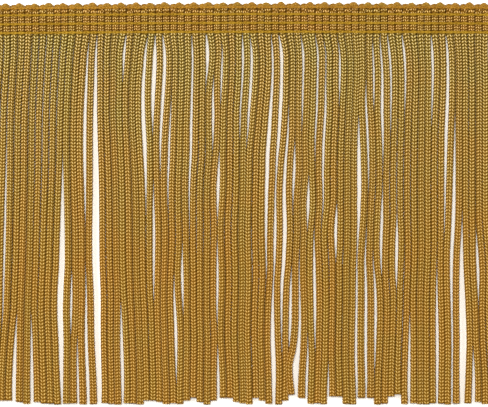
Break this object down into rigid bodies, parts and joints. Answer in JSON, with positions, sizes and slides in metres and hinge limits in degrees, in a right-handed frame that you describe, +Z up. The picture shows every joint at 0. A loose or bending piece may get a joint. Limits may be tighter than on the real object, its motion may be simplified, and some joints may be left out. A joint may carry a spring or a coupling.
{
  "type": "cord fringe trim",
  "caption": "Cut length of knitted cord fringe lying flat: a chain-stitched heading with a looped top edge, and long free cords hanging from it in loose locks.",
  "frame": {"origin": "on the surface that the trim lies on, under the middle of its bounding box", "axes": "+X along the heading to the right, +Y from the cut tips to the looped edge, +Z up, out of the trim's face"},
  "size_m": [0.1916, 0.1524, 0.0025],
  "materials": {
    "strand_gold": "lustrous knitted cord",
    "heading_gold": "lustrous knitted cord",
    "stitch_satin": "satin thread",
    "edge_amber": "satin thread"
  },
  "bodies": {
    "root": {"fringe_strands": "strand_gold", "heading_band": "heading_gold", "stitch_row_upper": "stitch_satin", "stitch_row_middle": "stitch_satin", "stitch_row_lower": "stitch_satin", "edge_chain": "edge_amber"}
  },
  "joints": []
}
